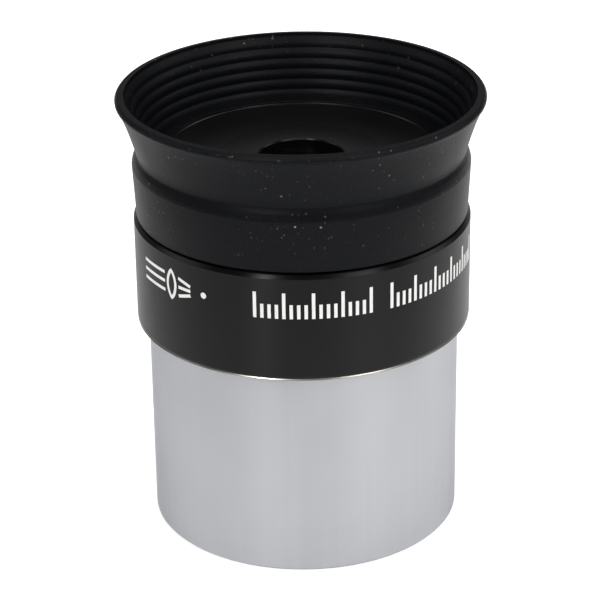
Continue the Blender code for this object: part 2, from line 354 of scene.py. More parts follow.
def finished_tree(tree, geometry, given, others=()):
    """Ends a tree: instances made real, one material on everything, others where finish asks for them."""
    made = add(tree, "GeometryNodeRealizeInstances", {0: geometry})
    made = add(tree, "GeometryNodeSetMaterial", {"Geometry": made, "Material": given["Material"]})
    asked = add(tree, "GeometryNodeInputNamedAttribute", {"Name": "finish"}, data_type="INT")
    for number, label in enumerate(others, SECOND):
        here = add(
            tree,
            "FunctionNodeCompare",
            {"A": asked, "B": number},
            data_type="INT",
            operation="EQUAL",
        )
        made = add(
            tree,
            "GeometryNodeSetMaterial",
            {"Geometry": made, "Selection": here, "Material": given[label]},
        )
    add(tree, "NodeGroupOutput", {0: made})
    return tree


def groove_tree():
    """Cuts a zone of a turned piece into rings (no lead) or a helix (a lead of one pitch a turn)."""
    tree, given = geometry_tree(
        "Rings and threads",
        {
            "Geometry": "Geometry",
            "Zone": "String",
            "Start": "Float",
            "Pitch": "Float",
            "Depth": "Float",
            "Lead": "Float",
            "Roundness": "Float",
            "Material": "Material",
            "Second material": "Material",
            "Third material": "Material",
        },
    )
    place = add(tree, "ShaderNodeSeparateXYZ", {0: add(tree, "GeometryNodeInputPosition")}).outputs
    angle = add(tree, "ShaderNodeMath", {0: place["Y"], 1: place["X"]}, operation="ARCTAN2")
    turns = add(tree, "ShaderNodeMath", {0: angle, 1: TURN}, operation="DIVIDE")
    lead = add(tree, "ShaderNodeMath", {0: turns, 1: given["Lead"]}, operation="MULTIPLY")
    height = add(tree, "ShaderNodeMath", {0: place["Z"], 1: given["Start"]}, operation="SUBTRACT")
    steps = add(tree, "ShaderNodeMath", {0: height, 1: given["Pitch"]}, operation="DIVIDE")
    phase = add(tree, "ShaderNodeMath", {0: steps, 1: lead}, operation="SUBTRACT")
    vee = add(tree, "ShaderNodeMath", {0: phase, 1: 0.5}, operation="PINGPONG")
    vee = add(tree, "ShaderNodeMath", {0: vee, 1: 2.0}, operation="MULTIPLY")
    bump = add(tree, "ShaderNodeMath", {0: phase, 1: math.pi}, operation="MULTIPLY")
    bump = add(tree, "ShaderNodeMath", {0: bump}, operation="COSINE")
    bump = add(tree, "ShaderNodeMath", {0: bump}, operation="ABSOLUTE")
    bump = add(tree, "ShaderNodeMath", {0: 1.0, 1: bump}, operation="SUBTRACT")
    wave = add(
        tree,
        "ShaderNodeMix",
        {"Factor": given["Roundness"], "A": vee, "B": bump},
        data_type="FLOAT",
    )
    weight = add(tree, "GeometryNodeInputNamedAttribute", {"Name": given["Zone"]}, data_type="FLOAT")
    cut = add(tree, "ShaderNodeMath", {0: wave, 1: weight}, operation="MULTIPLY")
    cut = add(tree, "ShaderNodeMath", {0: cut, 1: given["Depth"]}, operation="MULTIPLY")
    outwards = add(tree, "ShaderNodeCombineXYZ", {"X": place["X"], "Y": place["Y"]})
    outwards = add(tree, "ShaderNodeVectorMath", {0: outwards}, operation="NORMALIZE")
    offset = add(tree, "ShaderNodeVectorMath", {0: outwards, "Scale": cut}, operation="SCALE")
    moved = add(tree, "GeometryNodeSetPosition", {"Geometry": given["Geometry"], "Offset": offset})
    return finished_tree(tree, moved, given, ("Second material", "Third material"))


def graduation_tree():
    """A row of printed bars around a cylinder, every so many of them a long one."""
    tree, given = geometry_tree(
        "Printed graduations",
        {
            "Geometry": "Geometry",
            "Count": "Int",
            "Long every": "Int",
            "Radius": "Float",
            "Foot": "Float",
            "First angle": "Float",
            "Step angle": "Float",
            "Width": "Float",
            "Short": "Float",
            "Long": "Float",
            "Thickness": "Float",
            "Material": "Material",
        },
    )
    index = add(tree, "GeometryNodeInputIndex")
    angle = add(
        tree,
        "ShaderNodeMath",
        {0: index, 1: given["Step angle"], 2: given["First angle"]},
        operation="MULTIPLY_ADD",
    )
    sine = add(tree, "ShaderNodeMath", {0: angle}, operation="SINE")
    cosine = add(tree, "ShaderNodeMath", {0: angle}, operation="COSINE")
    across = add(tree, "ShaderNodeMath", {0: sine, 1: given["Radius"]}, operation="MULTIPLY")
    behind = add(tree, "ShaderNodeMath", {0: cosine, 1: given["Radius"]}, operation="MULTIPLY")
    behind = add(tree, "ShaderNodeMath", {0: behind, 1: -1.0}, operation="MULTIPLY")
    left = add(tree, "ShaderNodeMath", {0: index, 1: given["Long every"]}, operation="MODULO")
    plain = add(tree, "ShaderNodeMath", {0: left, 1: 0.5}, operation="GREATER_THAN")
    tall = add(
        tree,
        "ShaderNodeMix",
        {"Factor": plain, "A": given["Long"], "B": given["Short"]},
        data_type="FLOAT",
    )
    middle = add(
        tree, "ShaderNodeMath", {0: tall, 1: 0.5, 2: given["Foot"]}, operation="MULTIPLY_ADD"
    )
    spot = add(tree, "ShaderNodeCombineXYZ", {"X": across, "Y": behind, "Z": middle})
    line = add(tree, "GeometryNodeMeshLine", {"Count": given["Count"]})
    spots = add(tree, "GeometryNodeSetPosition", {"Geometry": line, "Position": spot})
    bar_size = add(tree, "ShaderNodeCombineXYZ", {"X": given["Width"], "Y": given["Thickness"], "Z": 1.0})
    bar = add(tree, "GeometryNodeMeshCube", {"Size": bar_size})
    turn = add(tree, "ShaderNodeCombineXYZ", {"Z": angle})
    stretch = add(tree, "ShaderNodeCombineXYZ", {"X": 1.0, "Y": 1.0, "Z": tall})
    bars = add(
        tree,
        "GeometryNodeInstanceOnPoints",
        {"Points": spots, "Instance": bar, "Rotation": turn, "Scale": stretch},
    )
    return finished_tree(tree, bars, given)


def run_tree(piece, tree, **values):
    """Adds a geometry tree to a piece, its inputs named as in the tree with _ for a space."""
    modifier = piece.modifiers.new(tree.name, "NODES")
    modifier.node_group = tree
    for socket in tree.interface.items_tree:
        key = socket.name.lower().replace(" ", "_")
        if socket.in_out == "INPUT" and key in values:
            modifier[socket.identifier] = values.pop(key)
    if values:
        raise ValueError(f"{tree.name} has no input {sorted(values)}")


# ---------------------------------------------------------------------------------------------- materials


def new_finish(name):
    """A new material with an empty tree, and the coordinates its patterns are drawn in."""
    material = bpy.data.materials.new(name)
    material.use_nodes = True
    tree = material.node_tree
    tree.nodes.clear()
    return material, tree, add(tree, "ShaderNodeTexCoord").outputs["Object"]


def shade(colour_value, factor=1.0):
    """A colour, made lighter or darker, with the alpha that a node wants."""
    return (*(min(1.0, channel * factor) for channel in colour_value), 1.0)


def turned_lines(tree, place, spacing, seed):
    """Fine tool marks that run around the axis, as a value from 0 to 1."""
    height = add(tree, "ShaderNodeSeparateXYZ", {"Vector": place}).outputs["Z"]
    count = add(
        tree, "ShaderNodeMath", {0: height, 1: 1 / spacing, 2: seed}, operation="MULTIPLY_ADD"
    )
    return add(
        tree,
        "ShaderNodeTexNoise",
        {"W": count, "Scale": 1.0, "Detail": 2.0},
        noise_dimensions="1D",
    )


def specks(tree, place, spacing, size, share, seed):
    """Round specks in a share of the cells of that spacing, one to a cell, as a value from 0 to 1."""
    corner = (seed * MM, seed * 1.7 * MM, seed * 2.3 * MM)
    shifted = add(tree, "ShaderNodeVectorMath", {0: place, 1: corner}, operation="ADD")
    cells = add(tree, "ShaderNodeTexVoronoi", {"Vector": shifted, "Scale": 1 / spacing})
    draw = add(tree, "ShaderNodeSeparateXYZ", {"Vector": cells.outputs["Color"]}).outputs
    kept = add(tree, "ShaderNodeMath", {0: draw["X"], 1: share}, operation="LESS_THAN")
    reach = add(tree, "ShaderNodeMath", {0: draw["Y"], 1: size / spacing}, operation="MULTIPLY")
    inside = add(
        tree,
        "ShaderNodeMapRange",
        {
            "Value": cells.outputs["Distance"],
            "From Min": 0.0,
            "From Max": reach,
            "To Min": 1.0,
            "To Max": 0.0,
        },
        interpolation_type="SMOOTHSTEP",
    )
    strength = add(tree, "ShaderNodeMath", {0: kept, 1: draw["Z"]}, operation="MULTIPLY")
    return add(tree, "ShaderNodeMath", {0: strength, 1: inside}, operation="MULTIPLY")


def satin_chrome(colours):
    """Brass, turned, then plated with nickel and chrome to a satin: the eye sees soft reflections, faint
    lines around the barrel and a slight haze where it has slid in a focuser."""
    material, tree, place = new_finish("satin_chrome_plated_brass")
    lines = turned_lines(tree, place, 0.09 * MM, 3.0)
    haze = add(tree, "ShaderNodeTexNoise", {"Vector": place, "Scale": 1 / (5 * MM), "Detail": 4.0})
    # Upright drawn marks, a millimetre apart, left by the polishing wheel.
    drawn = add(tree, "ShaderNodeMapping", {"Vector": place, "Scale": (1.0, 1.0, 0.04)})
    drawn = add(tree, "ShaderNodeTexNoise", {"Vector": drawn, "Scale": 1 / (1.1 * MM), "Detail": 3.0})
    tint = add(
        tree,
        "ShaderNodeMix",
        {"Factor": drawn, 6: shade(colours.chrome, 0.965), 7: shade(colours.chrome, 1.035)},
        data_type="RGBA",
    )
    rough = add(tree, "ShaderNodeMapRange", {"Value": haze, "To Min": 0.3, "To Max": 0.4})
    bump = add(
        tree, "ShaderNodeBump", {"Height": lines, "Strength": 0.12, "Distance": 0.004 * MM}
    )
    shader = add(
        tree,
        "ShaderNodeBsdfPrincipled",
        {
            "Base Color": tint,
            "Metallic": 1.0,
            "Roughness": rough,
            "Normal": bump,
            "Specular Tint": shade(colours.chrome_edge),
            "Anisotropic": 0.75,
            "Anisotropic Rotation": 0.25,
            "Tangent": add(tree, "ShaderNodeTangent", direction_type="RADIAL", axis="Z"),
        },
    )
    add(tree, "ShaderNodeOutputMaterial", {"Surface": shader})
    return material


def black_anodise(colours):
    """Aluminium, turned, then anodised and dyed black: a thin hard oxide, satin, whose tool marks stretch
    each highlight into a soft upright streak."""
    material, tree, place = new_finish("black_anodised_aluminium")
    lines = turned_lines(tree, place, 0.11 * MM, 11.0)
    cloud = add(tree, "ShaderNodeTexNoise", {"Vector": place, "Scale": 1 / (2.5 * MM), "Detail": 4.0})
    dust = specks(tree, place, 1.8 * MM, 0.2 * MM, 0.3, 5.0)
    dyed = add(
        tree,
        "ShaderNodeMix",
        {"Factor": lines, 6: shade(colours.anodise, 0.7), 7: shade(colours.anodise, 1.4)},
        data_type="RGBA",
    )
    tint = add(tree, "ShaderNodeMix", {"Factor": dust, 6: dyed, 7: shade(colours.dust)}, data_type="RGBA")
    rough = add(tree, "ShaderNodeMapRange", {"Value": cloud, "To Min": 0.32, "To Max": 0.38})
    bump = add(
        tree, "ShaderNodeBump", {"Height": lines, "Strength": 0.2, "Distance": 0.006 * MM}
    )
    shader = add(
        tree,
        "ShaderNodeBsdfPrincipled",
        {
            "Base Color": tint,
            "Roughness": rough,
            "Normal": bump,
            "IOR": 1.5,
            "Specular IOR Level": 0.28,
            "Anisotropic": 0.95,
            "Anisotropic Rotation": 0.25,
            "Tangent": add(tree, "ShaderNodeTangent", direction_type="RADIAL", axis="Z"),
        },
    )
    add(tree, "ShaderNodeOutputMaterial", {"Surface": shader})
    return material


def bright_cut(colours):
    """Aluminium cut bare with a diamond tool after anodising: a thin edge that catches the light."""
    material, tree, place = new_finish("diamond_cut_aluminium")
    lines = turned_lines(tree, place, 0.05 * MM, 5.0)
    rough = add(tree, "ShaderNodeMapRange", {"Value": lines, "To Min": 0.26, "To Max": 0.36})
    shader = add(
        tree,
        "ShaderNodeBsdfPrincipled",
        {"Base Color": shade(colours.bare), "Metallic": 1.0, "Roughness": rough},
    )
    add(tree, "ShaderNodeOutputMaterial", {"Surface": shader})
    return material


def dull_black(colours):
    """Metal blackened to swallow stray light: a low sheen, with a fine grain and faint tool marks."""
    material, tree, place = new_finish("blackened_metal")
    lines = turned_lines(tree, place, 0.12 * MM, 17.0)
    grain = add(tree, "ShaderNodeTexNoise", {"Vector": place, "Scale": 1 / (0.15 * MM), "Detail": 2.0})
    tint = add(
        tree,
        "ShaderNodeMix",
        {"Factor": grain, 6: shade(colours.blackened, 0.6), 7: shade(colours.blackened, 1.5)},
        data_type="RGBA",
    )
    rough = add(tree, "ShaderNodeMapRange", {"Value": lines, "To Min": 0.24, "To Max": 0.32})
    bump = add(
        tree, "ShaderNodeBump", {"Height": grain, "Strength": 0.25, "Distance": 0.01 * MM}
    )
    shader = add(
        tree,
        "ShaderNodeBsdfPrincipled",
        {"Base Color": tint, "Roughness": rough, "Normal": bump, "Specular IOR Level": 0.3},
    )
    add(tree, "ShaderNodeOutputMaterial", {"Surface": shader})
    return material


def moulded_rubber(colours):
    """Rubber moulded in a lightly blasted tool: matte with a fine grain, lighter at grazing angles, and
    tacky enough to hold specks of dust."""
    material, tree, place = new_finish("moulded_black_rubber")
    # Grain of 0.1 mm, drawn twice as coarse so that it shows.
    grain = add(tree, "ShaderNodeTexNoise", {"Vector": place, "Scale": 1 / (0.2 * MM), "Detail": 3.0})
    bloom = add(tree, "ShaderNodeTexNoise", {"Vector": place, "Scale": 1 / (4 * MM), "Detail": 5.0})
    body = add(
        tree,
        "ShaderNodeMix",
        {"Factor": grain, 6: shade(colours.rubber, 0.2), 7: shade(colours.rubber, 1.8)},
        data_type="RGBA",
    )
    fibres = specks(tree, place, 1.1 * MM, 0.23 * MM, 0.4, 13.0)
    motes = specks(tree, place, 0.5 * MM, 0.16 * MM, 0.7, 31.0)
    faint = add(tree, "ShaderNodeMath", {0: motes, 1: 0.45}, operation="MULTIPLY")
    # Dust settles in drifts, and hardly any of it deep inside the cup.
    drift = add(tree, "ShaderNodeTexNoise", {"Vector": place, "Scale": 1 / (9 * MM), "Detail": 2.0})
    drift = add(tree, "ShaderNodeMapRange", {"Value": drift, "From Min": 0.35, "From Max": 0.6})
    level = add(tree, "ShaderNodeVectorMath", {0: place, 1: (1.0, 1.0, 0.0)}, operation="MULTIPLY")
    away = add(tree, "ShaderNodeVectorMath", {0: level}, operation="LENGTH")
    outside = add(
        tree,
        "ShaderNodeMapRange",
        {"Value": away, "From Min": 16.3 * MM, "From Max": 17.2 * MM, "To Min": 0.06},
    )
    dust = add(tree, "ShaderNodeMath", {0: fibres, 1: faint}, operation="MAXIMUM")
    dust = add(tree, "ShaderNodeMath", {0: dust, 1: drift}, operation="MULTIPLY")
    dust = add(tree, "ShaderNodeMath", {0: dust, 1: outside}, operation="MULTIPLY")
    tint = add(tree, "ShaderNodeMix", {"Factor": dust, 6: body, 7: shade(colours.dust)}, data_type="RGBA")
    rough = add(tree, "ShaderNodeMapRange", {"Value": bloom, "To Min": 0.38, "To Max": 0.48})
    bump = add(
        tree, "ShaderNodeBump", {"Height": grain, "Strength": 1.0, "Distance": 0.03 * MM}
    )
    shader = add(
        tree,
        "ShaderNodeBsdfPrincipled",
        {
            "Base Color": tint,
            "Roughness": rough,
            "Normal": bump,
            "IOR": 1.5,
            "Specular IOR Level": 0.11,
        },
    )
    add(tree, "ShaderNodeOutputMaterial", {"Surface": shader})
    return material


def printed_ink(colours):
    """White ink, pad printed: flat, and slightly uneven in cover."""
    material, tree, place = new_finish("pad_printed_ink")
    cover = add(tree, "ShaderNodeTexNoise", {"Vector": place, "Scale": 1 / (0.3 * MM), "Detail": 2.0})
    tint = add(
        tree,
        "ShaderNodeMix",
        {"Factor": cover, 6: shade(colours.print, 0.88), 7: shade(colours.print)},
        data_type="RGBA",
    )
    rough = add(tree, "ShaderNodeMapRange", {"Value": cover, "To Min": 0.4, "To Max": 0.55})
    shader = add(tree, "ShaderNodeBsdfPrincipled", {"Base Color": tint, "Roughness": rough})
    add(tree, "ShaderNodeOutputMaterial", {"Surface": shader})
    return material


def coated_glass(colours, name, index, film):
    """Optical glass, polished, with a thin coating that tints what little it reflects."""
    material, tree, place = new_finish(name)
    smear = add(tree, "ShaderNodeTexNoise", {"Vector": place, "Scale": 1 / (3 * MM), "Detail": 2.0})
    rough = add(tree, "ShaderNodeMapRange", {"Value": smear, "To Min": 0.0, "To Max": 0.02})
    shader = add(
        tree,
        "ShaderNodeBsdfPrincipled",
        {
            "Base Color": shade(colours.glass),
            "Roughness": rough,
            "IOR": index,
            "Transmission Weight": 1.0,
            "Thin Film Thickness": film,
            "Thin Film IOR": FILM_INDEX,
        },
    )
    add(tree, "ShaderNodeOutputMaterial", {"Surface": shader})
    return material


def light_table(colours):
    """Opal acrylic, lit softly from beneath so that the table stays white up to the barrel's foot."""
    material, tree, place = new_finish("opal_acrylic")
    mottle = add(tree, "ShaderNodeTexNoise", {"Vector": place, "Scale": 1 / (40 * MM), "Detail": 2.0})
    tint = add(
        tree,
        "ShaderNodeMix",
        {"Factor": mottle, 6: shade(colours.table, 0.98), 7: shade(colours.table)},
        data_type="RGBA",
    )
    # The lamps under the table are a little stronger on the right.
    across = add(tree, "ShaderNodeSeparateXYZ", {"Vector": place}).outputs["X"]
    glow = add(
        tree,
        "ShaderNodeMapRange",
        {"Value": across, "From Min": -60 * MM, "From Max": 60 * MM, "To Min": 0.42, "To Max": 0.68},
    )
    shader = add(
        tree,
        "ShaderNodeBsdfPrincipled",
        {
            "Base Color": tint,
            "Roughness": 0.8,
            "Specular IOR Level": 0.2,
            "Emission Color": shade(colours.table),
            "Emission Strength": glow,
        },
    )
    add(tree, "ShaderNodeOutputMaterial", {"Surface": shader})
    return material


FINISHES = {}


def make_finishes(colours):
    FINISHES.update(
        chrome=satin_chrome(colours),
        anodise=black_anodise(colours),
        bare=bright_cut(colours),
        black=dull_black(colours),
        rubber=moulded_rubber(colours),
        ink=printed_ink(colours),
        crown=coated_glass(colours, "coated_crown_glass", CROWN_INDEX, CROWN_FILM),
        flint=coated_glass(colours, "coated_flint_glass", FLINT_INDEX, FLINT_FILM),
        grooves=groove_tree(),
        graduations=graduation_tree(),
    )


# ------------------------------------------------------------------------------------------------- pieces


def turned(name, corners, main, second="black", sharp=SHARP_METAL, cuts=(), closed=True):
    """A finished turned piece. Each cut is a dictionary of the groove tree's inputs."""
    sizes = bpy.context.scene.eyepiece_sizes
    piece = lathe(name, rounded(corners, closed), sizes.segments, closed)
    uncut = {"zone": "none", "start": 0.0, "pitch": MM, "depth": 0.0, "lead": 0.0, "roundness": 0.0}
    for cut in cuts or [{}]:
        run_tree(
            piece,
            FINISHES["grooves"],
            **{**uncut, **cut},
            material=FINISHES[main],
            second_material=FINISHES[second],
            third_material=FINISHES["black"],
        )
    return settle(piece, sharp)


def assign(piece, body, node):
    """Parents the piece to the body that it moves with, and hides the node of the frame that it stands for.
    """
    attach(piece, body)
    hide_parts(node)


class EYEPIECE_OT_barrel(bpy.types.Operator):
    """Chromed barrel with its filter thread, blackened bore and the thread that holds the head"""

    bl_idname = "eyepiece.barrel"
    bl_label = "Barrel"

    def execute(self, context):
        s = context.scene.eyepiece_sizes
        outer, top, face = radius_of("barrel"), top_of("barrel"), base_of("housing")
        root = s.head_thread - s.thread_depth
        seat = face + 0.26 * MM
        relief_top = seat + 0.45 * MM
        thread_foot = relief_top + 0.15 * MM
        bore_start = s.filter_depth + 0.35 * MM
        soft_edge = 0.06 * MM
        corners = [
            Corner(root, top, FINE_EDGE),
            *wall(
                (s.head_thread, top - LEAD_IN),
                (s.head_thread, thread_foot),
                s.head_pitch / THREAD_STEPS,
                "head_thread",
                fade=LEAD_IN,
            ),
            Corner(root, relief_top, FINE_EDGE),
            Corner(root, seat, FINE_EDGE),
            Corner(outer, seat, 2 * soft_edge),
            Corner(outer, s.barrel_edge, soft_edge),
            Corner(outer - s.barrel_edge, 0.0, soft_edge),
            Corner(s.filter_radius + LEAD_IN, 0.0, FINE_EDGE),
            *wall(
                (s.filter_radius, LEAD_IN),
                (s.filter_radius, s.filter_depth),
                s.filter_pitch / THREAD_STEPS,
                "filter_thread",
                fade=0.25 * MM,
            ),
            Corner(s.filter_radius, s.filter_depth + 0.1 * MM, finish=SECOND),
            *wall(
                (s.barrel_bore, bore_start),
                (s.barrel_bore, base_of("field_stop_ring") - LEAD_IN),
                s.baffle_pitch / 5,
                "baffles",
                fade=LEAD_IN,
                finish=SECOND,
            ),
            Corner(s.barrel_bore, top, EASED_EDGE),
        ]
        cuts = (
            {
                "zone": "head_thread",
                "start": face,
                "pitch": s.head_pitch,
                "depth": -s.thread_depth,
                "lead": 1.0,
            },
            {"zone": "filter_thread", "pitch": s.filter_pitch, "depth": 0.3 * MM, "lead": 1.0},
            {"zone": "baffles", "pitch": s.baffle_pitch, "depth": 0.16 * MM},
        )
        piece = turned("barrel_shell", corners, "chrome", cuts=cuts)
        assign(piece, "nosepiece", "barrel")
        return {"FINISHED"}


class EYEPIECE_OT_field_stop(bpy.types.Operator):
    """Field stop ring, screwed into the barrel's bore"""

    bl_idname = "eyepiece.field_stop"
    bl_label = "Field stop"

    def execute(self, context):
        s = context.scene.eyepiece_sizes
        bottom, top = base_of("field_stop_ring"), top_of("field_stop_ring")
        rim = s.barrel_bore - 0.05 * MM
        rim_inside = rim - 1.5 * MM
        web = top - 0.6 * MM
        knife_edge = 0.08 * MM
        corners = [
            Corner(rim, top, EASED_EDGE),
            Corner(rim, bottom, EASED_EDGE),
            Corner(rim_inside, bottom, 0.08 * MM),
            Corner(rim_inside, web, 0.3 * MM),
            Corner(STOP_OPENING + 0.5 * MM, web),
            Corner(STOP_OPENING, top - knife_edge),
            Corner(STOP_OPENING, top),
        ]
        piece = turned("field_stop", corners, "black")
        notched(piece, rim, bottom)
        assign(piece, "nosepiece", "field_stop_ring")
        return {"FINISHED"}


class EYEPIECE_OT_head(bpy.types.Operator):
    """Black anodised head: threaded skirt, neck for the eyecup, dish and eye aperture"""

    bl_idname = "eyepiece.head"
    bl_label = "Head"

    def execute(self, context):
        s = context.scene.eyepiece_sizes
        outer, face, top = radius_of("housing"), base_of("housing"), top_of("housing")
        neck_top = top - NECK_DROP
        dish_low = top - 0.45 * MM
        dish_edge, dish_rise = 0.12 * MM, 0.06 * MM
        recess = face + 0.3 * MM
        crest = s.head_thread - s.thread_depth + 0.06 * MM
        thread_foot = recess + 0.35 * MM
        thread_top = top_of("barrel") + 0.25 * MM
        relief = crest + 0.5 * MM
        lock_bore = radius_of("cell_lock_ring") + 0.05 * MM
        lock_start = base_of("cell_lock_ring") - 0.3 * MM
        seat = top_of("cell_lock_ring") + 2.2 * MM
        cell_bore = CELL_BODY + 0.05 * MM
        ceiling = top_of("lens_cell") + 0.05 * MM
        barrel_hole = radius_of("barrel") + 0.05 * MM
        cut_top, cut_bottom = face + 5.0 * s.bare_groove, face + 1.8 * s.bare_groove
        crisp, broken, soft = 0.01 * MM, 0.03 * MM, 0.06 * MM
        corners = [
            # The rim of the dish, the neck and the outside.
            Corner(s.dish_radius - dish_edge, top, finish=THIRD),
            Corner(s.dish_radius, top, broken, finish=THIRD),
            Corner(s.dish_radius + dish_edge, neck_top, FINE_EDGE),
            Corner(s.neck_radius, neck_top, EASED_EDGE),
            Corner(s.neck_radius, s.head_top, EASED_EDGE),
            Corner(outer - s.head_chamfer, s.head_top, soft),
            Corner(outer, s.head_top - s.head_chamfer, soft),
            Corner(outer, cut_top, 2 * crisp),
            Corner(outer - s.bare_groove, cut_bottom, crisp, finish=SECOND),
            Corner(outer, face + 0.03 * MM, crisp),
            Corner(outer - 0.03 * MM, face, crisp),
            # The recess for the barrel's shoulder, the thread and the bores of the cell.
            Corner(barrel_hole, face, broken),
            Corner(barrel_hole, recess, FINE_EDGE),
            Corner(crest + 0.35 * MM, recess, 0.02 * MM),
            *wall(
                (crest, thread_foot),
                (crest, thread_top),
                s.head_pitch / THREAD_STEPS,
                "head_thread",
                fade=LEAD_IN,
            ),
            Corner(relief, thread_top + 0.1 * MM, 0.04 * MM),
            Corner(relief, lock_start, EASED_EDGE),
            Corner(lock_bore, lock_start, 0.08 * MM),
            Corner(lock_bore, seat, FINE_EDGE),
            Corner(cell_bore, seat, 0.08 * MM),
            Corner(cell_bore, ceiling, FINE_EDGE, finish=THIRD),
            # The eye aperture and the dish around it.
            Corner(s.aperture, ceiling, 0.04 * MM, finish=THIRD),
            Corner(s.aperture, dish_low - dish_edge, broken),
            Corner(s.aperture + dish_edge, dish_low, broken, finish=THIRD),
            Corner(0.6 * s.dish_radius, dish_low + dish_rise, 3.0 * MM, finish=THIRD),
            Corner(s.dish_radius - 0.18 * MM, top - 0.07 * MM, finish=THIRD),
        ]
        thread = {
            "zone": "head_thread",
            "start": face + s.head_pitch / 2,
            "pitch": s.head_pitch,
            "depth": s.thread_depth,
            "lead": 1.0,
        }
        piece = turned("head_housing", corners, "anodise", "bare", cuts=[thread])
        assign(piece, "head", "housing")
        return {"FINISHED"}


class EYEPIECE_OT_marks(bpy.types.Operator):
    """White printed marks on the head: a plain lens sign and two runs of graduations"""

    bl_idname = "eyepiece.marks"
    bl_label = "Printed marks"

    def execute(self, context):
        s = context.scene.eyepiece_sizes
        stroke = 0.8 * s.mark_stroke
        radius = radius_of("housing") + 0.004 * MM
        bars_foot, sign_middle = s.head_top - 4.45 * MM, s.head_top - 3.2 * MM
        # Name, angle of the first bar in degrees from the front, and number of bars of each run.
        runs = (("graduations_left", -16, 17), ("graduations_right", 30, 21))
        for name, first, count in runs:
            bars = bpy.data.objects.new(name, bpy.data.meshes.new(name))
            context.scene.collection.objects.link(bars)
            run_tree(
                bars,
                FINISHES["graduations"],
                count=count,
                long_every=4,
                radius=radius,
                foot=bars_foot,
                first_angle=math.radians(first),
                step_angle=math.radians(2.4),
                width=stroke,
                short=0.55 * s.mark_height,
                long=s.mark_height,
                thickness=0.02 * MM,
                material=FINISHES["ink"],
            )
            settle(bars)
            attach(bars, "head")
        sign = lens_sign(radius, sign_middle, stroke)
        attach(sign, "head")
        return {"FINISHED"}


def ribbon(points, width, closed):
    """Left and right edges of a flat line of that width through points in a plane."""
    count = len(points)
    edges = []
    for i, point in enumerate(points):
        before = points[i - 1] if closed or i else point
        after = points[(i + 1) % count] if closed or i < count - 1 else point
        along = (after - before).normalized()
        side = Vector((-along.y, along.x)) * (width / 2)
        edges.append((point + side, point - side))
    return edges


def lens_sign(radius, height, stroke):
    """A plain ray diagram, printed around the cylinder: three rays, a lens that bends them, a focus."""
    tall, curve = 1.5 * MM, 2.2 * MM
    ray_start, ray_gap, ray_spread = -5.0 * MM, 1.05 * MM, 0.95 * MM
    focus = Vector((4.3 * MM, 0.0))
    middle = math.radians(-49)

    half = math.asin(tall / curve)
    sweep = [half * (k / 8 - 1) for k in range(17)]
    right = [Vector((curve * (math.cos(a) - math.cos(half)), curve * math.sin(a))) for a in sweep]
    outline = right + [Vector((-point.x, -point.y)) for point in right[1:-1]]
    dot = [focus + Matrix.Rotation(TURN * k / 12, 2) @ Vector((0.16 * MM, 0.0)) for k in range(12)]
    lines = [(outline, True), (dot, True)]
    for offset in (-ray_spread, 0.0, ray_spread):
        start = Vector((ray_start, offset))
        entry, leave = Vector((-ray_gap, offset)), Vector((ray_gap, offset))
        lines.append(([start.lerp(entry, k / 6) for k in range(7)], False))
        lines.append(([leave.lerp(focus, k / 6) for k in range(4)], False))

    shape = bmesh.new()
    for points, closed in lines:
        rungs = []
        for pair in ribbon(points, stroke, closed):
            rung = []
            for edge in pair:
                angle = middle + edge.x / radius
                spot = (radius * math.sin(angle), -radius * math.cos(angle), height + edge.y)
                rung.append(shape.verts.new(spot))
            rungs.append(rung)
        following = rungs[1:] + rungs[:1] if closed else rungs[1:]
        for (a, b), (c, d) in zip(rungs, following):
            shape.faces.new((a, b, d, c))
    bmesh.ops.recalc_face_normals(shape, faces=shape.faces)
    mesh = bpy.data.meshes.new("lens_sign")
    shape.to_mesh(mesh)
    shape.free()
    mesh.materials.append(FINISHES["ink"])
    sign = bpy.data.objects.new("lens_sign", mesh)
    bpy.context.scene.collection.objects.link(sign)
    ink = sign.modifiers.new("ink", "SOLIDIFY")
    ink.thickness = 0.012 * MM
    ink.offset = 0.0
    return settle(sign)


